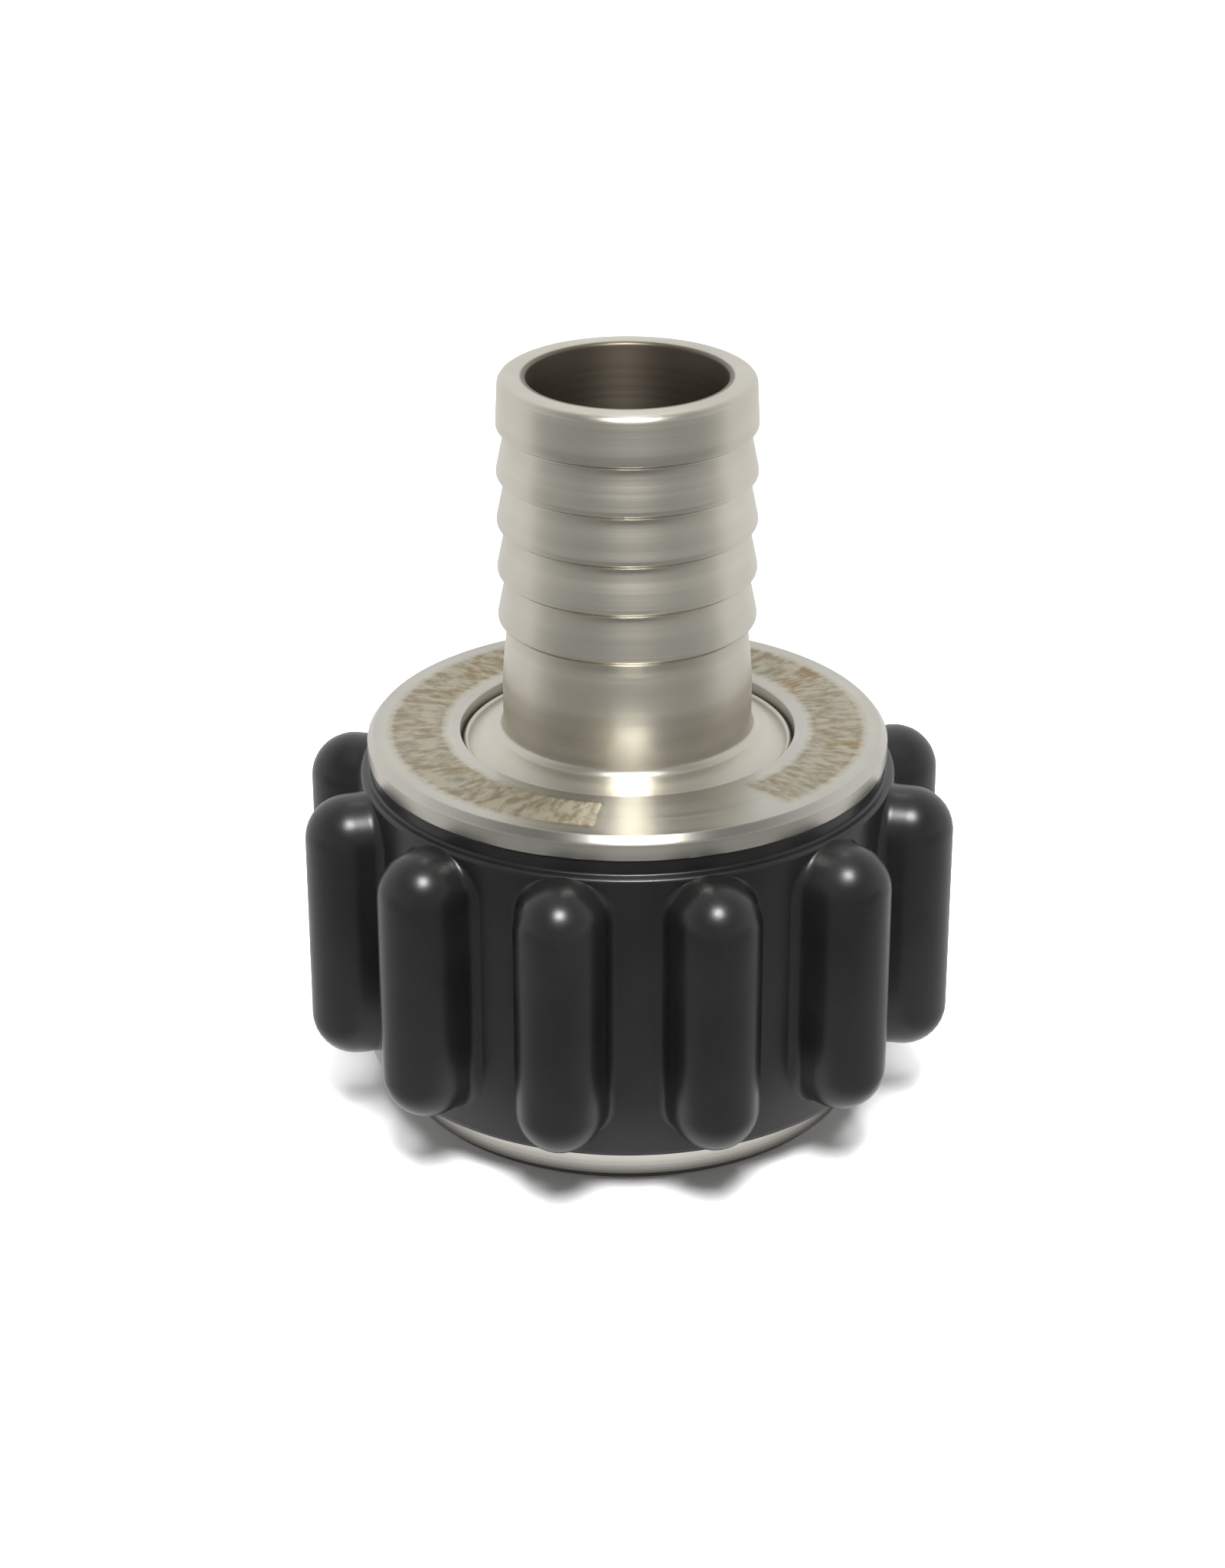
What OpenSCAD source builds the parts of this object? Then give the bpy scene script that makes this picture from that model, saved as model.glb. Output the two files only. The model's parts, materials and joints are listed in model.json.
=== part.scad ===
// Hand-tightened swivel coupling: a barbed hose tail that turns in a threaded nut
// with a lobed plastic grip. Millimetres, +Z up. The origin is on the swivel axis,
// in the plane of the nut's bottom face, which the coupling stands on.

/* [Hose tail] */
// Diameter over the crests of the barbs
barb_d = 14.3; // [13.9:0.1:14.8]
// Depth of each barb, from its crest to its root
barb_depth = 0.43; // [0.3:0.01:0.6]
// Number of barbs
barb_count = 5; // [3:1:6]
// Distance from one crest to the next
barb_pitch = 2.78; // [2.4:0.02:3.2]
// Width of the flat along each crest
barb_land = 0.25; // [0.2:0.05:0.4]
// Diameter of the flow bore
bore_d = 11; // [10:0.1:12]
// Length of the tip above the highest crest
tip_h = 2.45; // [2.1:0.05:2.8]
// Diameter of the plain neck below the barbs
neck_d = 13.9; // [13.6:0.05:13.95]
// Height of the neck, from the face of the nut up to the barbs
neck_h = 5.7; // [4.5:0.1:8]
// Radius of the hollow between neck and collar
flare_r = 0.5; // [0.3:0.1:2.1]

/* [Collar and flange] */
// Diameter of the collar that turns in the face ring
collar_d = 18.44; // [18.3:0.02:18.6]
// Diameter of the flange that the nut pulls down
flange_d = 20.6; // [20.4:0.1:20.8]
// Thickness of the flange
flange_t = 3.2; // [2.9:0.1:3.3]
// Thickness of the slip washer on top of the flange
washer_t = 0.8; // [0.6:0.1:0.9]
// Height that the tail can rise before the washer meets the face ring
float_h = 0.48; // [0.3:0.02:0.6]

/* [Nut] */
// Height of the nut with its face ring
nut_h = 21.8; // [21.2:0.1:22.4]
// Diameter of the rim that shows below the grip
rim_d = 26.6; // [26.2:0.1:27.4]
// Height of that rim
rim_h = 2.55; // [2:0.05:3]
// Diameter of the barrel inside the grip
barrel_d = 25.4; // [25.2:0.1:25.8]
// Diameter over the crests of the inside pipe thread
thread_minor_d = 19; // [18.9:0.05:19.2]
// Diameter over the roots of the inside pipe thread
thread_major_d = 21.2; // [21:0.1:21.4]
// Pitch of the pipe thread, 14 to the inch
thread_pitch = 1.814; // [1.8:0.001:1.82]
// Number of thread grooves in the socket
thread_turns = 6; // [4:1:6]

/* [Face ring] */
// Diameter of the face ring
face_d = 29.2; // [28.6:0.1:29.6]
// Height of the ring's rim above the grip
face_rim_h = 1.4; // [1.1:0.1:1.6]
// Bevel around the ring's top edge
face_bevel = 0.35; // [0.2:0.05:0.5]

/* [Grip] */
// Diameter of the grip between its lobes
grip_d = 30.1; // [29.9:0.1:30.6]
// Diameter of the grip over its lobes
grip_over_d = 37.2; // [36.8:0.1:37.6]
// Number of lobes
lobe_count = 12; // [8:1:14]
// Width of a lobe
lobe_w = 4.9; // [4.2:0.1:5.2]
// Turn of the lobes about the axis, in degrees
lobe_turn = 17; // [0:1:30]
// Diameter of the collar that stands inside the step round the grip's top
step_d = 29; // [28.4:0.1:29.2]
// Depth of that step
step_h = 0.85; // [0.6:0.05:1.2]

/* [Seal] */
// Thickness of the seal's round section
seal_w = 1.8; // [1.6:0.05:1.85]
// Diameter of the seal, measured to the middle of its section
seal_mean_d = 16.8; // [16.7:0.05:16.85]

/* [Hidden] */
$fn = 96;

swivel_gap = 0.07;    // radial clearance between collar and face ring
seat_gap = 0.02;      // gap left between faces that only rest on each other
washer_gap = 0.1;     // radial clearance between collar and washer
edge = 0.3;           // small bevel on turned edges
rim_bevel = 0.5;      // bevel at the foot of the rim
cut = 1;              // how far a cutter runs past the face that it opens

face_z = nut_h - face_rim_h;                 // top of the grip, underside of the face ring's rim
thread_bevel = 1.05;                         // bevel at the mouth of the socket
groove_w = 1.5;                              // width of one thread groove at its mouth
groove_z = thread_bevel + groove_w / 2 + 0.1;
relief_z = groove_z + 5.5 * thread_pitch;    // start of the relief at the thread's inner end
relief_h = 0.8;
relief_d = thread_major_d + 0.2;
ledge_z = relief_z + relief_h + 0.68;        // ledge that the flange rests on
ledge_d = thread_minor_d + 0.4;
chamber_d = flange_d + 0.4;
flange_z = ledge_z + seat_gap;
washer_z = flange_z + flange_t;
spigot_z = washer_z + washer_t + float_h + seat_gap;
spigot_d = 23.2;
seal_pinch = 0.02;                           // radial squeeze of the seal in its groove
seal_drop = 0.5;                             // how far the seal stands out of the flange
seal_z = flange_z - seal_drop + seal_w / 2;

barb_r = barb_d / 2;
root_r = barb_r - barb_depth;
neck_z = nut_h + neck_h;
first_crest_z = neck_z + 1.05;               // lower edge of the lowest crest
top_crest_z = first_crest_z + (barb_count - 1) * barb_pitch;
tip_z = top_crest_z + barb_land + tip_h;
neck_slope = 0.6;                            // height of the slope from neck to barb root
tip_taper = 0.12;                            // fall of the tip's radius towards its rounded end
tip_round = 0.35;                            // bevel that stands for the tip's rounded end

lobe_r = lobe_w / 2;
lobe_at = grip_over_d / 2 - lobe_r;          // radius at which the lobes' centres lie
lobe_low = rim_h + 1.15 + lobe_r;            // centres of the round ends
lobe_high = face_z - step_h - 0.05 - lobe_r;
foot_bevel = 0.45;                           // bevel at the foot of the grip
step_bevel = 0.2;                            // bevel along the outer edge of the step
key_count = 6;
key_w = 3;
key_h = 0.8;
key_top = face_z - 1.6;

steel = [0.72, 0.70, 0.66];
black = [0.13, 0.13, 0.14];

// A ring with square edges, from z0 up by h.
module ring(outer_d, inner_d, z0, h) {
    translate([0, 0, z0])
        difference() {
            cylinder(d = outer_d, h = h);
            translate([0, 0, -cut])
                cylinder(d = inner_d, h = h + 2 * cut);
        }
}

// Things set evenly around the axis.
module around(count, turn = 0) {
    for (i = [0 : count - 1])
        rotate([0, 0, turn + i * 360 / count])
            children();
}

// Outline of one barb from its root up to the next one: under-cut, land and long slope.
function barb_points(z, rise) = [
    [root_r, z - barb_depth * 0.6],
    [barb_r, z],
    [barb_r, z + barb_land],
    [root_r, z + rise]
];

// Half outline of the tail from the neck to the tip, outside only.
function tail_points() = [
    for (i = [0 : barb_count - 2])
        each barb_points(first_crest_z + i * barb_pitch, barb_pitch - barb_depth * 0.6 - 0.15)
];

// Barbed tail, neck, collar and flange in one turned piece.
module hose_stem() {
    color(steel)
        difference() {
            union() {
                stem_profile();
                neck_hollow();
            }
            translate([0, 0, flange_z - cut])
                cylinder(d = bore_d, h = tip_z);
            seal_groove();
        }
}

module stem_profile() {
    rotate_extrude()
        polygon(concat(
            [[0, flange_z], [flange_d / 2 - edge, flange_z],
             [flange_d / 2, flange_z + edge],
             [flange_d / 2, washer_z - edge],
             [flange_d / 2 - edge, washer_z],
             [collar_d / 2, washer_z],
             [collar_d / 2, nut_h - 0.15],
             [collar_d / 2 - 0.15, nut_h],
             [neck_d / 2, nut_h],
             [neck_d / 2, neck_z - neck_slope],
             [root_r, neck_z]],
            tail_points(),
            [[root_r, top_crest_z - barb_depth * 0.6],
             [barb_r, top_crest_z],
             [barb_r, top_crest_z + barb_land],
             [barb_r - tip_taper, tip_z - tip_round],
             [barb_r - tip_taper - tip_round, tip_z],
             [0, tip_z]]));
}

// Hollow rounding where the neck meets the collar.
module neck_hollow() {
    difference() {
        translate([0, 0, nut_h])
            cylinder(d = neck_d + 2 * flare_r, h = flare_r);
        rotate_extrude()
            translate([neck_d / 2 + flare_r, nut_h + flare_r])
                circle(r = flare_r);
    }
}

// Groove in the flange's underside for the face seal.
module seal_groove() {
    ring(seal_mean_d + seal_w - 2 * seal_pinch, seal_mean_d - seal_w + 2 * seal_pinch,
         flange_z - cut, cut + seal_w - seal_drop);
}

// Ring that closes the nut's top and carries the pull on the flange.
module face_ring() {
    color(steel)
        rotate_extrude()
            polygon([
                [collar_d / 2 + swivel_gap, spigot_z],
                [spigot_d / 2 - edge, spigot_z],
                [spigot_d / 2, spigot_z + edge],
                [spigot_d / 2, face_z],
                [face_d / 2, face_z],
                [face_d / 2, nut_h - face_bevel * 1.3],
                [face_d / 2 - face_bevel, nut_h],
                [collar_d / 2 + swivel_gap + 0.12, nut_h],
                [collar_d / 2 + swivel_gap, nut_h - 0.12]
            ]);
}

// Threaded barrel with the rim that shows under the grip.
module thread_nut() {
    color(steel)
        difference() {
            union() {
                rotate_extrude()
                    polygon([
                        [0, 0],
                        [rim_d / 2 - rim_bevel, 0],
                        [rim_d / 2, rim_bevel],
                        [rim_d / 2, rim_h],
                        [barrel_d / 2, rim_h],
                        [barrel_d / 2, face_z],
                        [0, face_z]
                    ]);
                drive_keys();
            }
            nut_hollow();
        }
}

// Everything that is bored out of the nut: socket, thread, relief, chamber and ring seat.
module nut_hollow() {
    minor_r = thread_minor_d / 2;
    rotate_extrude()
        polygon(concat(
            [[0, -cut], [minor_r + thread_bevel + cut, -cut], [minor_r, thread_bevel]],
            [for (i = [0 : thread_turns - 1]) each groove_points(groove_z + i * thread_pitch)],
            [[minor_r, relief_z], [relief_d / 2, relief_z],
             [relief_d / 2, relief_z + relief_h], [ledge_d / 2, relief_z + relief_h],
             [ledge_d / 2, ledge_z], [chamber_d / 2, ledge_z],
             [chamber_d / 2, spigot_z], [spigot_d / 2, spigot_z],
             [spigot_d / 2, face_z + cut], [0, face_z + cut]]));
}

// One groove of the pipe thread, with a narrow flat at its root.
function groove_points(z) = [
    [thread_minor_d / 2, z - groove_w / 2],
    [thread_major_d / 2, z - 0.12],
    [thread_major_d / 2, z + 0.12],
    [thread_minor_d / 2, z + groove_w / 2]
];

// Keys along the barrel that stop the grip turning on the nut.
module drive_keys() {
    around(key_count)
        translate([barrel_d / 2 - 0.5, -key_w / 2, rim_h])
            cube([key_h + 0.5, key_w, key_top - rim_h]);
}

// Moulded grip: a plain wall, stepped in at its top, with round-ended lobes.
module grip_wheel() {
    color(black)
        difference() {
            union() {
                rotate_extrude()
                    polygon([
                        [0, rim_h],
                        [grip_d / 2 - foot_bevel, rim_h],
                        [grip_d / 2, rim_h + foot_bevel],
                        [grip_d / 2, face_z - step_h - step_bevel],
                        [grip_d / 2 - step_bevel, face_z - step_h],
                        [step_d / 2, face_z - step_h],
                        [step_d / 2, face_z],
                        [0, face_z]
                    ]);
                around(lobe_count, lobe_turn)
                    lobe();
            }
            translate([0, 0, rim_h - cut])
                cylinder(d = barrel_d, h = face_z);
            drive_keys();
        }
}

// One lobe: a round-ended rib that grows out of the wall.
module lobe() {
    root_at = grip_d / 2 - 0.8;
    translate([lobe_at, 0, lobe_low])
        cylinder(r = lobe_r, h = lobe_high - lobe_low);
    for (z = [lobe_low, lobe_high]) {
        translate([lobe_at, 0, z])
            sphere(r = lobe_r);
        translate([root_at, 0, z])
            rotate([0, 90, 0])
                cylinder(r = lobe_r - 0.04, h = lobe_at - root_at);
    }
    translate([root_at, -lobe_r + 0.04, lobe_low])
        cube([lobe_at - root_at, lobe_w - 0.08, lobe_high - lobe_low]);
}

// Low-friction washer between flange and face ring.
module slip_washer() {
    color([0.93, 0.92, 0.88])
        ring(chamber_d - 0.3, collar_d + 2 * washer_gap, washer_z, washer_t);
}

// Round ring that seals against the end of the pipe.
module face_seal() {
    color([0.62, 0.16, 0.11])
        rotate_extrude()
            translate([seal_mean_d / 2, seal_z])
                circle(d = seal_w);
}

hose_stem();
face_ring();
thread_nut();
grip_wheel();
slip_washer();
face_seal();
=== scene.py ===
"""Hose coupling: turned steel tail, nut and face ring, moulded grip, washer and seal."""

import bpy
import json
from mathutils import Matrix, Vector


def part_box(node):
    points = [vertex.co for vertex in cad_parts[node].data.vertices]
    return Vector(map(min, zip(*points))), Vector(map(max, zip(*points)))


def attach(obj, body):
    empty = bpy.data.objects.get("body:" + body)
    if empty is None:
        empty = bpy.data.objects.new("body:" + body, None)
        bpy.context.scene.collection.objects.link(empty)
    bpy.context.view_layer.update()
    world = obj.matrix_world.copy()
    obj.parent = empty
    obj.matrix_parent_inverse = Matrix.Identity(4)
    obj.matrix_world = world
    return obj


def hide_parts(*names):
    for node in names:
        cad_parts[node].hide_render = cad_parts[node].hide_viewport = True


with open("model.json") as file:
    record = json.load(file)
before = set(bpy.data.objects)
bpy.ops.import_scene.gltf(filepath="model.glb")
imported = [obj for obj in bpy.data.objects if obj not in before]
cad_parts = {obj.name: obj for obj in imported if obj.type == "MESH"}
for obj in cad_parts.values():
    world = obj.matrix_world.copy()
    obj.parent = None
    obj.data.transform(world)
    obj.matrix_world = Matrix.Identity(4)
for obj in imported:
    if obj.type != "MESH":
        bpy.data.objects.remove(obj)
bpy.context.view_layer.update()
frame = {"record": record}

import json
import math

import bmesh
import bpy
from mathutils import Matrix, Vector

MM = 0.001

# ---------------------------------------------------------------- sizes

# From the frame
MOUNTS = {m["name"]: m for m in frame["record"]["mounts"]}

ring_low, ring_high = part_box("face_ring")
grip_low, grip_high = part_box("grip_wheel")
stem_low, stem_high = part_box("hose_stem")
washer_low, washer_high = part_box("slip_washer")
seal_low, seal_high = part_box("face_seal")

FACE_Z = ring_high.z                                 # top of the face ring
GRIP_TOP, GRIP_FOOT = grip_high.z, grip_low.z
TIP_Z = stem_high.z
FLANGE_Z, FLANGE_R = stem_low.z, stem_high.x
WASHER_Z, WASHER_TOP = washer_low.z, washer_high.z
RING_R, SPIGOT_Z = ring_high.x, ring_low.z
CREST_R = MOUNTS["hose_tail"]["dims"]["r_mm"] * MM
BORE_R = MOUNTS["flow_bore"]["dims"]["r_mm"] * MM
SOCKET_R = MOUNTS["pipe_socket"]["dims"]["r_mm"] * MM

# The part's own, which the frame doesn't name
RIM_R = 13.3 * MM
COLLAR_R, SWIVEL_GAP = 9.22 * MM, 0.07 * MM
NECK_R, NECK_TOP = 6.95 * MM, FACE_Z + 5.7 * MM
ROOT_R = CREST_R - 0.43 * MM
BARBS, BARB_PITCH, BARB_LAND = 5, 2.78 * MM, 0.25 * MM
BARB_FACE, ROOT_FLAT = 0.26 * MM, 0.15 * MM          # lower face of a barb, and the root below
HOLLOW_R = 0.5 * MM                                  # rounding at the neck's foot

BARREL_R, SPIGOT_R, CHAMBER_R = 12.7 * MM, 11.6 * MM, 10.5 * MM
THREAD_R, THREAD_PITCH = 10.6 * MM, 1.814 * MM       # roots of the thread
LEDGE_R, LEDGE_H = 9.7 * MM, 0.68 * MM
RELIEF_R, RELIEF_H = 10.7 * MM, 0.8 * MM
LEDGE_Z = FLANGE_Z - 0.02 * MM

WALL_R, STEP_R, STEP_H = 15.05 * MM, 14.5 * MM, 0.85 * MM
LOBES, LOBE_R, LOBE_TURN = 12, 2.45 * MM, math.radians(17)
LOBE_AT = 18.6 * MM - LOBE_R
BARE_LOW, BARE_HIGH = 1.15 * MM, 0.9 * MM            # wall left bare under and over a lobe
LOBE_LOW, LOBE_HIGH = GRIP_FOOT + BARE_LOW + LOBE_R, GRIP_TOP - BARE_HIGH - LOBE_R
BLEND = 0.5 * MM                                     # rounding where a lobe leaves the wall
LOBE_SUNK = 0.4 * MM                                 # how far a lobe's foot runs into the wall

# ---------------------------------------------------------------- grain of the finishes

# Noise cells in a metre, and how deep the bumps are
FEED_LINES, FEED_BANDS, STEEL_CLOUDS, STAIN_CLOUDS = 9000.0, 900.0, 160.0, 260.0
MOULD_GRAIN, MOULD_CLOUDS = 6000.0, 220.0
MATT_GRAIN, MATT_CLOUDS = 5000.0, 400.0
FINE_DEPTH, PIT_DEPTH, MATT_DEPTH = 0.02 * MM, 0.05 * MM, 0.01 * MM

# The etched band: radii in millimetres, and two arcs in degrees leftwards from the back
ETCH_INNER, ETCH_OUTER, ETCH_EDGE = 10.0, 13.6, 0.5
ETCH_RIGHT, ETCH_LEFT = (-142, -25), (25, 174)
ETCH_ENDS = 0.04                                     # radians over which an arc fades out
STROKES_A_RADIAN, STROKES_A_MM = 22.61, 0.75

# ---------------------------------------------------------------- mesh helpers


def arc(centre, radius, start, stop, steps=8):
    """Points of an arc in the outline's plane, angles in degrees."""
    turns = [math.radians(start + (stop - start) * i / steps) for i in range(steps + 1)]
    return [(centre[0] + radius * math.cos(t), centre[1] + radius * math.sin(t)) for t in turns]


def rounded(corners, steps=4):
    """An outline with its corners rounded. Each corner is (radius out, height, rounding)."""
    points = []
    for i, (x, z, r) in enumerate(corners):
        here = Vector((x, z))
        if r <= 0:
            points.append((x, z))
            continue
        back = Vector(corners[i - 1][:2]) - here
        ahead = Vector(corners[(i + 1) % len(corners)][:2]) - here
        half = back.angle(ahead) / 2
        reach = min(r / math.tan(half), 0.49 * back.length, 0.49 * ahead.length)
        r = reach * math.tan(half)
        a, b = here + back.normalized() * reach, here + ahead.normalized() * reach
        middle = (back.normalized() + ahead.normalized()).normalized()
        centre = here + middle * (r / math.sin(half))
        for k in range(steps + 1):
            way = (a - centre).lerp(b - centre, k / steps)
            points.append(tuple(centre + way.normalized() * r))
    return points


def spun(bm, outline, steps=192):
    """Adds a closed outline (radius, height) spun about the axis, as a solid ring."""
    verts = [bm.verts.new((r, 0, z)) for r, z in outline]
    edges = [bm.edges.new((verts[i], verts[i - 1])) for i in range(len(verts))]
    bmesh.ops.spin(bm, geom=verts + edges, axis=(0, 0, 1), cent=(0, 0, 0),
                   angle=2 * math.pi, steps=steps, use_merge=True, use_duplicate=False)


def turned(name, outline):
    """A turned piece: one closed outline spun about the axis."""
    bm = bmesh.new()
    spun(bm, outline)
    return finished(name, bm)


def grow(bm, ring, places):
    """Extrudes a ring of vertices to new places and gives the new ring."""
    edges = [bm.edges.get((ring[i], ring[i - 1])) for i in range(len(ring))]
    fresh = set(bmesh.ops.extrude_edge_only(bm, edges=edges)["geom"])
    grown = [next(e.other_vert(v) for e in v.link_edges if e.other_vert(v) in fresh) for v in ring]
    for vert, place in zip(grown, places):
        vert.co = place
    return grown


def finished(name, bm, sharp=40):
    """Turns a bmesh into an object with outward faces and soft shading up to the sharp angle."""
    bmesh.ops.remove_doubles(bm, verts=bm.verts, dist=1e-6)
    bmesh.ops.recalc_face_normals(bm, faces=bm.faces)
    for face in bm.faces:
        face.smooth = True
    for edge in bm.edges:
        edge.smooth = len(edge.link_faces) == 2 and edge.calc_face_angle(0) < math.radians(sharp)
    mesh = bpy.data.meshes.new(name)
    bm.to_mesh(mesh)
    bm.free()
    obj = bpy.data.objects.new(name, mesh)
    bpy.context.scene.collection.objects.link(obj)
    return obj


def fit(obj, material, body, slot, *nodes):
    """Gives a piece its finish and its body, and hides the CAD nodes that it stands for."""
    obj.data.materials.append(material)
    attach(obj, body)
    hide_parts(*nodes)
    return obj


# ---------------------------------------------------------------- node helpers


class Finish:
    """A node material with a Principled shader, and short calls to build its nodes."""

    def __init__(self, name, **values):
        self.material = bpy.data.materials.new(name)
        self.material.use_nodes = True
        self.tree = self.material.node_tree
        self.shader = self.tree.nodes["Principled BSDF"]
        for key, value in values.items():
            self.shader.inputs[key.replace("_", " ")].default_value = value

    def node(self, kind, **settings):
        """A new node. A setting is one of its properties or else one of its sockets."""
        made = self.tree.nodes.new("ShaderNode" + kind)
        for key, value in settings.items():
            if hasattr(made, key):
                setattr(made, key, value)
            else:
                made.inputs[key.replace("_", " ")].default_value = value
        return made

    def link(self, source, target, socket):
        """Joins a node, or one of its outputs, to a socket of another node."""
        if hasattr(source, "outputs"):
            source = source.outputs[0]
        self.tree.links.new(source, target.inputs[socket])

    def math(self, operation, a, b=0.5):
        """A Math node. Each operand is a number, a node or an output."""
        made = self.node("Math", operation=operation)
        for i, value in enumerate((a, b)):
            if isinstance(value, (int, float)):
                made.inputs[i].default_value = value
            else:
                self.link(value, made, i)
        return made

    def place(self):
        """Object coordinates of the piece."""
        return self.node("TexCoord").outputs["Object"]

    def axes(self):
        """The three object coordinates, one by one."""
        parts = self.node("SeparateXYZ")
        self.link(self.place(), parts, "Vector")
        return parts.outputs

    def axis_distance(self):
        """Distance from the coupling's axis."""
        x, y = self.axes()[:2]
        square = self.math("ADD", self.math("MULTIPLY", x, x), self.math("MULTIPLY", y, y))
        return self.math("SQRT", square)

    def noise(self, scale, detail=4.0, roughness=0.55, vector=None):
        """Noise with so many cells in a metre, or in one unit of the vector given."""
        made = self.node("TexNoise", Scale=scale, Detail=detail, Roughness=roughness)
        self.link(vector or self.place(), made, "Vector")
        return made.outputs["Fac"]

    def ramp(self, factor, *stops):
        """A colour ramp. Each stop is (place, colour or grey)."""
        made = self.node("ValToRGB")
        ramp = made.color_ramp
        while len(ramp.elements) < len(stops):
            ramp.elements.new(0.5)
        for element, (at, value) in zip(ramp.elements, stops):
            element.position = at
            grey = isinstance(value, (int, float))
            element.color = (value, value, value, 1) if grey else (*value, 1)
        self.link(factor, made, "Fac")
        return made.outputs["Color"]

    def stretch(self, factor, low, high, to_low, to_high):
        """Maps low..high to to_low..to_high, and holds the ends."""
        made = self.node("MapRange", From_Min=low, From_Max=high, To_Min=to_low, To_Max=to_high)
        self.link(factor, made, "Value")
        return made.outputs["Result"]

    def mix(self, factor, a, b):
        """Blends two colours."""
        made = self.node("Mix", data_type="RGBA")
        for socket, value in ((0, factor), (6, a), (7, b)):
            if isinstance(value, (int, float)):
                made.inputs[socket].default_value = value
            elif isinstance(value, tuple):
                made.inputs[socket].default_value = (*value, 1)
            else:
                self.link(value, made, socket)
        return made.outputs[2]

    def bump(self, height, strength, distance, under=None):
        """The normal for a height, laid over the bump under it if one is given."""
        made = self.node("Bump", Strength=strength, Distance=distance)
        self.link(height, made, "Height")
        if under is not None:
            self.link(under, made, "Normal")
        return made.outputs["Normal"]


def turned_steel(name, colour, roughness, brushed, bored=0.0, marks=None):
    """Stainless bar as it comes off the lathe, with a fine feed mark every 0.1 mm or so.
    brushed is how far its feed marks stretch a reflection. Inside the radius bored it is rougher
    and painted dark, as painted shade down the bore.
    marks(f, x, y, out) may give the mask and the pits of an etched area."""
    f = Finish(name, Metallic=1.0, Anisotropic=brushed, Anisotropic_Rotation=0.25)
    x, y, z = f.axes()
    out = f.axis_distance()
    groove = f.node("CombineXYZ")
    f.link(out, groove, 0)
    f.link(z, groove, 2)
    lines = f.noise(FEED_LINES, detail=2.0, roughness=0.7, vector=groove.outputs[0])
    bands = f.noise(FEED_BANDS, detail=3.0, roughness=0.6, vector=groove.outputs[0])
    cloud = f.noise(STEEL_CLOUDS, detail=3.0)
    tone = f.ramp(f.math("MULTIPLY", f.math("ADD", bands, cloud), 0.5),
                  (0.35, shade(colour, 0.88)), (0.65, shade(colour, 1.08)))
    gloss = f.stretch(bands, 0.3, 0.7, roughness - 0.05, roughness + 0.06)
    relief = f.bump(lines, 0.25, FINE_DEPTH, f.bump(bands, 0.2, FINE_DEPTH))
    if bored:
        inside = f.stretch(out, bored, bored + 0.15 * MM, 1.0, 0.0)
        # Painted shade: inside the bore the colour is painted dark brown-grey; only the added
        # roughness is a real finish.
        tone = f.mix(inside, tone, shade(colour, 0.30, 0.27, 0.24))
        gloss = f.math("ADD", gloss, f.math("MULTIPLY", inside, 0.1))
    if marks is not None:
        mask, pits = marks(f, x, y, out)
        grey, gold, bright = (shade(colour, 0.62, 0.58, 0.48), shade(colour, 0.62, 0.48, 0.27),
                              shade(colour, 0.95, 0.9, 0.8))
        stain = f.mix(f.stretch(f.noise(STAIN_CLOUDS), 0.4, 0.62, 0.0, 1.0), grey, gold)
        etched = f.mix(f.stretch(pits, 0.38, 0.6, 0.0, 1.0), stain, bright)
        tone = f.mix(mask, tone, etched)
        gloss = f.math("MAXIMUM", gloss, f.math("MULTIPLY", mask, 0.55))
        relief = f.bump(f.math("MULTIPLY", pits, mask), 0.5, PIT_DEPTH, relief)
    f.link(tone, f.shader, "Base Color")
    f.link(gloss, f.shader, "Roughness")
    f.link(relief, f.shader, "Normal")
    tangent = f.node("Tangent", direction_type="RADIAL", axis="Z")
    f.link(tangent.outputs["Tangent"], f.shader, "Tangent")
    return f.material


def etched_band(f, x, y, out):
    """Two arcs of etched strokes round the face ring, which leave its front and back plain."""
    turn = f.math("ARCTAN2", f.math("MULTIPLY", x, -1.0), y)       # 0 at the back, grows leftwards
    across = f.math("MULTIPLY", out, 1 / MM)
    grid = f.node("CombineXYZ")
    f.link(f.math("MULTIPLY", turn, STROKES_A_RADIAN), grid, 0)
    f.link(f.math("MULTIPLY", across, STROKES_A_MM), grid, 1)
    pits = f.noise(1.0, detail=2.0, roughness=0.65, vector=grid.outputs[0])

    def window(value, low, high, soft):
        rise = f.stretch(value, low, low + soft, 0.0, 1.0)
        fall = f.stretch(value, high - soft, high, 1.0, 0.0)
        return f.math("MULTIPLY", rise, fall)

    band = window(across, ETCH_INNER, ETCH_OUTER, ETCH_EDGE)
    right, left = (window(turn, math.radians(start), math.radians(stop), ETCH_ENDS)
                   for start, stop in (ETCH_RIGHT, ETCH_LEFT))
    return f.math("MULTIPLY", band, f.math("MAXIMUM", left, right)), pits


def shade(colour, *factors):
    """A colour made lighter or darker, by one factor or by one for each channel."""
    factors = factors * 3 if len(factors) == 1 else factors
    return tuple(c * k for c, k in zip(colour, factors))


def moulded_plastic(name, colour):
    """Satin black plastic with a faint spark-eroded grain."""
    f = Finish(name, Specular_IOR_Level=0.4)
    grain = f.noise(MOULD_GRAIN, detail=3.0, roughness=0.6)
    cloud = f.noise(MOULD_CLOUDS, detail=3.0)
    tone = f.ramp(cloud, (0.35, shade(colour, 0.85)), (0.7, shade(colour, 1.25)))
    f.link(tone, f.shader, "Base Color")
    f.link(f.stretch(cloud, 0.3, 0.7, 0.27, 0.35), f.shader, "Roughness")
    f.link(f.bump(grain, 0.12, FINE_DEPTH), f.shader, "Normal")
    return f.material


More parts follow.
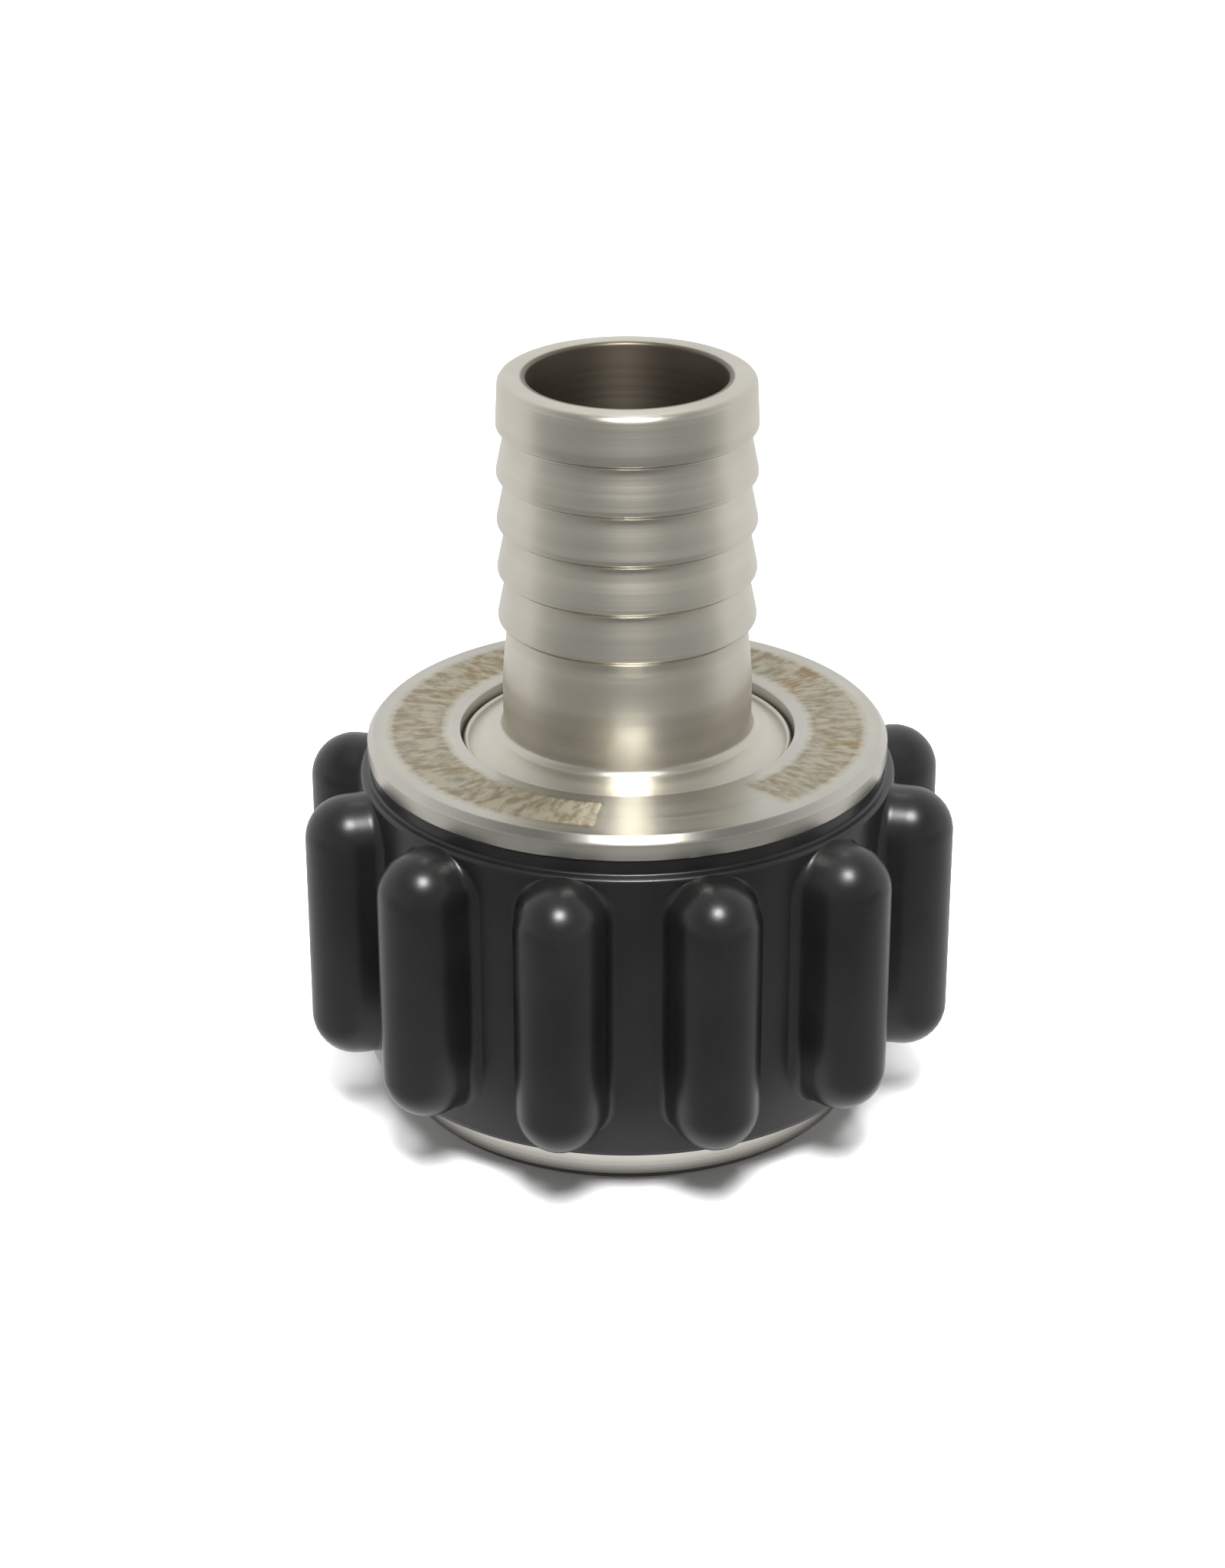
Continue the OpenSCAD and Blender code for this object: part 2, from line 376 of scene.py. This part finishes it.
def plain_matt(name, colour, roughness):
    """Matt rubber or plastic, with a faint cloud and grain."""
    f = Finish(name)
    cloud = f.noise(MATT_CLOUDS)
    f.link(f.ramp(cloud, (0.3, shade(colour, 0.9)), (0.7, colour)), f.shader, "Base Color")
    f.link(f.stretch(cloud, 0.3, 0.7, roughness - 0.05, roughness + 0.05), f.shader, "Roughness")
    f.link(f.bump(f.noise(MATT_GRAIN), 0.1, MATT_DEPTH), f.shader, "Normal")
    return f.material


# ---------------------------------------------------------------- pieces


def make_tail():
    """Flange, collar, neck, five barbs and tip, around the flow bore."""
    first_crest, lean_h, lean_r = NECK_TOP + 1.05 * MM, 2.2 * MM, 30 * MM
    tip_r = CREST_R - 0.12 * MM
    groove_in, groove_out, groove_top = 7.52 * MM, 9.28 * MM, FLANGE_Z + 1.3 * MM
    outline = [
        (BORE_R, FLANGE_Z, 0.15 * MM),
        (groove_in, FLANGE_Z, 0.1 * MM),
        (groove_in, groove_top, 0.2 * MM),
        (groove_out, groove_top, 0.2 * MM),
        (groove_out, FLANGE_Z, 0.1 * MM),
        (FLANGE_R, FLANGE_Z, 0.3 * MM),
        (FLANGE_R, WASHER_Z, 0.3 * MM),
        (COLLAR_R, WASHER_Z, 0.1 * MM),
        (COLLAR_R, FACE_Z, 0.15 * MM),
    ]
    points = rounded(outline)
    points += arc((NECK_R + HOLLOW_R, FACE_Z + HOLLOW_R), HOLLOW_R, 270, 180)
    barbs = [(NECK_R, NECK_TOP - lean_h, lean_r), (ROOT_R, NECK_TOP, 0.4 * MM)]
    for i in range(BARBS):
        low = first_crest + i * BARB_PITCH
        barbs += [
            (ROOT_R, low - BARB_FACE, 0.15 * MM),
            (CREST_R, low, 0.1 * MM),
            (CREST_R, low + BARB_LAND, 0.2 * MM),
        ]
        if i < BARBS - 1:
            barbs.append((ROOT_R, low + BARB_PITCH - BARB_FACE - ROOT_FLAT, 0.2 * MM))
    tip = [
        (tip_r, TIP_Z, 0.4 * MM),
        (BORE_R, TIP_Z, 0.15 * MM),
    ]
    start, stop = (NECK_R, FACE_Z + HOLLOW_R, 0), (BORE_R, FLANGE_Z + 1 * MM, 0)
    upper = rounded([start] + barbs + tip + [stop])
    return turned("barbed_tail", points + upper[1:-1])


def make_face_ring():
    """Bevelled ring that closes the nut, with the swivel gap round the collar."""
    bore = COLLAR_R + SWIVEL_GAP
    return turned("nut_face_ring", rounded([
        (bore, SPIGOT_Z, 0.1 * MM),
        (SPIGOT_R, SPIGOT_Z, 0.2 * MM),
        (SPIGOT_R, GRIP_TOP, 0),
        (RING_R, GRIP_TOP, 0.12 * MM),
        (RING_R, FACE_Z - 0.42 * MM, 0.25 * MM),
        (RING_R - 0.35 * MM, FACE_Z, 0.15 * MM),
        (bore + 0.1 * MM, FACE_Z, 0.1 * MM),
    ]))


def make_barrel():
    """The nut's body: rim, barrel, socket wall, relief, ledge, flange chamber and ring seat."""
    relief = LEDGE_Z - LEDGE_H - RELIEF_H
    bm = bmesh.new()
    spun(bm, rounded([
        (THREAD_R + 0.2 * MM, 0, 0.05 * MM),
        (RIM_R - 0.5 * MM, 0, 0.12 * MM),
        (RIM_R, 0.5 * MM, 0.15 * MM),
        (RIM_R, GRIP_FOOT, 0.1 * MM),
        (BARREL_R, GRIP_FOOT, 0),
        (BARREL_R, GRIP_TOP, 0),
        (SPIGOT_R, GRIP_TOP, 0),
        (SPIGOT_R, SPIGOT_Z, 0),
        (CHAMBER_R, SPIGOT_Z, 0),
        (CHAMBER_R, LEDGE_Z, 0.1 * MM),
        (LEDGE_R, LEDGE_Z, 0.1 * MM),
        (LEDGE_R, relief + RELIEF_H, 0.1 * MM),
        (RELIEF_R, relief + RELIEF_H, 0.1 * MM),
        (RELIEF_R, relief, 0.1 * MM),
        (THREAD_R, relief, 0.05 * MM),
        (THREAD_R, 0.3 * MM, 0.05 * MM),
    ]))
    return finished("nut_barrel", bm)


def make_thread():
    """The inside pipe thread: a ridge with blunt ends, wound up the socket wall."""
    half_root, half_crest, root = 0.78 * MM, 0.13 * MM, THREAD_R + 0.1 * MM
    start, steps = 1.15 * MM, 96                         # steps in a turn
    turns = (LEDGE_Z - LEDGE_H - RELIEF_H - 2 * start) / THREAD_PITCH
    bm = bmesh.new()
    corners = [(root, -half_root), (SOCKET_R, -half_crest),
               (SOCKET_R, half_crest), (root, half_root)]
    verts = [bm.verts.new((r, 0, start + z)) for r, z in corners]
    edges = [bm.edges.new((verts[i], verts[i - 1])) for i in range(len(verts))]
    bmesh.ops.spin(bm, geom=verts + edges, axis=(0, 0, 1), cent=(0, 0, 0),
                   dvec=(0, 0, THREAD_PITCH / steps), angle=2 * math.pi * turns,
                   steps=round(steps * turns), use_duplicate=False)
    bmesh.ops.holes_fill(bm, edges=[e for e in bm.edges if e.is_boundary], sides=4)
    return finished("pipe_thread", bm, sharp=25)


def stadium(half_width, pull, blend=0.0, steps=16):
    """One ring round a lobe, seen from outside: straight sides and half-round ends.
    pull(y) is how far out each point lies, and blend widens the sides only."""
    points = []
    for i in range(2 * steps + 2):
        end = i > steps
        turn = math.pi * (i - end) / steps
        y = math.cos(turn) * (half_width + blend)
        z = (LOBE_LOW if end else LOBE_HIGH) + math.sin(turn) * half_width
        points.append(Vector((pull(y), y, z)))
    return points


def add_lobe(bm, turn):
    """A round-ended rib that grows out of the wall, built inwards from its crest."""

    def wall(y):
        return math.sqrt(WALL_R ** 2 - y ** 2)

    def crest(t):
        return stadium(LOBE_R * math.sin(t), lambda y: LOBE_AT + LOBE_R * math.cos(t))

    def foot(t):
        return stadium(LOBE_R, lambda y: wall(y) + BLEND * (1 - math.sin(t)),
                       BLEND * (1 - math.cos(t)))

    rings = [crest(math.radians(a)) for a in range(0, 91, 10)]
    rings += [foot(math.radians(a)) for a in range(0, 91, 18)]
    rings.append(stadium(LOBE_R, lambda y: wall(y) - LOBE_SUNK, BLEND))
    place = Matrix.Rotation(turn, 3, "Z")
    ring = [bm.verts.new(place @ p) for p in rings[0]]
    for i in range(len(ring)):
        bm.edges.new((ring[i], ring[i - 1]))
    for points in rings[1:]:
        ring = grow(bm, ring, [place @ p for p in points])
    last = [bm.edges.get((ring[i], ring[i - 1])) for i in range(len(ring))]
    bmesh.ops.contextual_create(bm, geom=last)


def make_grip():
    """Moulded wall with a step round its top, and the lobes that stand on it."""
    bm = bmesh.new()
    spun(bm, rounded([
        (BARREL_R, GRIP_FOOT, 0),
        (WALL_R, GRIP_FOOT, 0.4 * MM),
        (WALL_R, GRIP_TOP - STEP_H, 0.22 * MM),
        (STEP_R, GRIP_TOP - STEP_H, 0.15 * MM),
        (STEP_R, GRIP_TOP, 0.1 * MM),
        (BARREL_R, GRIP_TOP, 0),
    ]))
    for i in range(LOBES):
        add_lobe(bm, LOBE_TURN + i * 2 * math.pi / LOBES)
    return finished("lobed_grip", bm)


def make_washer():
    """Flat ring between the flange and the face ring."""
    bore = COLLAR_R + 0.1 * MM
    return turned("slip_washer_ring", rounded([
        (washer_high.x, WASHER_Z, 0.1 * MM),
        (washer_high.x, WASHER_TOP, 0.1 * MM),
        (bore, WASHER_TOP, 0.1 * MM),
        (bore, WASHER_Z, 0.1 * MM),
    ]))


def make_seal():
    """Round silicone ring."""
    half = (seal_high.z - seal_low.z) / 2
    centre = (seal_high.x - half, seal_low.z + half)
    return turned("round_seal", arc(centre, half, 0, 360, 32)[:-1])


TAIL_STEEL = turned_steel("satin_stainless", (0.56, 0.535, 0.465), roughness=0.36, brushed=0.55,
                          bored=BORE_R + 0.2 * MM)
STEEL = turned_steel("turned_stainless", (0.56, 0.54, 0.49), roughness=0.26, brushed=0.4)
ETCHED_STEEL = turned_steel("etched_stainless", (0.52, 0.505, 0.45), roughness=0.33, brushed=0.72,
                            marks=etched_band)
PLASTIC = moulded_plastic("moulded_black", (0.006, 0.0063, 0.006))
PTFE = plain_matt("washer_white", (0.85, 0.84, 0.80), 0.45)
SILICONE = plain_matt("seal_silicone", (0.42, 0.08, 0.05), 0.5)

fit(make_tail(), TAIL_STEEL, "stem", "turned_steel", "hose_stem")
fit(make_seal(), SILICONE, "stem", "seal_rubber", "face_seal")
fit(make_washer(), PTFE, "washer", "washer_plastic", "slip_washer")
fit(make_face_ring(), ETCHED_STEEL, "nut", "turned_steel", "face_ring")
fit(make_barrel(), STEEL, "nut", "turned_steel", "thread_nut")
fit(make_thread(), STEEL, "nut", "turned_steel", "thread_nut")
fit(make_grip(), PLASTIC, "nut", "grip_plastic", "grip_wheel")

# ---------------------------------------------------------------- floor, light and camera

WHITE, BLACK = (1, 1, 1, 1), (0, 0, 0, 1)
TABLE_WHITE = (0.88, 0.88, 0.88, 1)
TABLE_HALF = 4                                       # half the table's width
LAMP_AIM = Vector((0, 0, 15 * MM))


def table_top(name, finish):
    """A flat square at height 0."""
    bm = bmesh.new()
    bmesh.ops.create_grid(bm, x_segments=1, y_segments=1, size=TABLE_HALF)
    floor = finished(name, bm)
    floor.data.materials.append(finish.material)
    return floor


def make_floor():
    """The white table, which stays white out of the lamps' reach."""
    f = Finish("white_table", Roughness=0.6, Base_Color=TABLE_WHITE, Emission_Color=WHITE)
    f.link(f.stretch(f.axis_distance(), 0.15, 0.6, 0.0, 1.0), f.shader, "Emission Strength")
    table_top("table", f).visible_glossy = False


def make_painted_floor_reflection():
    """A glowing sheet that only reflections see, in place of the table: a painted contact shadow
    under the nut, a painted glow just round it, dimmer towards the front."""
    f = Finish("glowing_table", Roughness=0.8, Base_Color=BLACK, Emission_Color=WHITE)
    y = f.axes()[1]
    away = f.axis_distance()
    # Painted contact shadow under the nut, then a painted glow round it, dimming towards the
    # front; seen only in reflections.
    under = f.stretch(away, 14.0 * MM, 15.8 * MM, 0.03, 1.0)
    near = f.stretch(away, 19 * MM, 26 * MM, 1.3, 0.0)
    side = f.stretch(y, -45 * MM, 10 * MM, 0.28, 0.92)
    f.link(f.math("MULTIPLY", under, f.math("MAXIMUM", near, side)), f.shader, "Emission Strength")
    floor = table_top("painted_table_reflection", f)
    for ray in ("camera", "diffuse", "transmission", "shadow"):
        setattr(floor, "visible_" + ray, False)


def add_light(name, at, size, power, mirrored=True):
    """A soft box aimed at the part. One that isn't mirrored lights it without a highlight."""
    data = bpy.data.lights.new(name, "AREA")
    data.shape = "RECTANGLE"
    data.size, data.size_y = size
    data.energy = power
    lamp = bpy.data.objects.new(name, data)
    lamp.location = at
    lamp.rotation_euler = (LAMP_AIM - Vector(at)).to_track_quat("-Z", "Y").to_euler()
    lamp.visible_glossy = mirrored
    bpy.context.scene.collection.objects.link(lamp)


def add_camera():
    """A camera in front, looking down 25.5 degrees at a point 16.67 mm above the table."""
    elevation, distance, aim = math.radians(25.5), 199.5 * MM, Vector((0, 0, 16.67 * MM))
    data = bpy.data.cameras.new("camera")
    data.lens, data.sensor_width = 80.63, 36
    data.clip_start, data.clip_end = 0.01, 10
    data.shift_x, data.shift_y = -0.0095, 0.0146
    camera = bpy.data.objects.new("camera", data)
    back = Vector((0, -math.cos(elevation), math.sin(elevation)))
    camera.location = aim + back * distance
    camera.rotation_euler = (-back).to_track_quat("-Z", "Y").to_euler()
    bpy.context.scene.collection.objects.link(camera)
    bpy.context.scene.camera = camera


def light_room():
    """White walls at the back and sides, dark above and in front."""
    world = bpy.data.worlds.new("room")
    world.use_nodes = True
    tree = world.node_tree
    way = tree.nodes.new("ShaderNodeTexCoord")
    back = tree.nodes.new("ShaderNodeVectorMath")
    back.operation = "DOT_PRODUCT"
    back.inputs[1].default_value = (0, 1, -1.2)          # the bright way, backwards and down
    tree.links.new(way.outputs["Generated"], back.inputs[0])
    tone = tree.nodes.new("ShaderNodeMapRange")
    ends = {"From Min": -1.4, "From Max": -0.2, "To Min": 0.15, "To Max": 1.0}
    for socket, value in ends.items():
        tone.inputs[socket].default_value = value
    tree.links.new(back.outputs["Value"], tone.inputs["Value"])
    tree.links.new(tone.outputs[0], tree.nodes["Background"].inputs["Strength"])
    tree.nodes["Background"].inputs["Color"].default_value = WHITE
    bpy.context.scene.world = world
    bpy.context.scene.view_settings.view_transform = "Standard"


make_floor()
make_painted_floor_reflection()
light_room()
add_light("front_box", (0.020, -0.21, 0.365), (0.12, 0.12), 2.2)
add_light("back_box", (0.010, 0.20, 0.36), (0.03, 0.06), 0.042)
add_light("ceiling_box", (0, -0.04, 0.45), (0.30, 0.30), 3.6, mirrored=False)
add_camera()
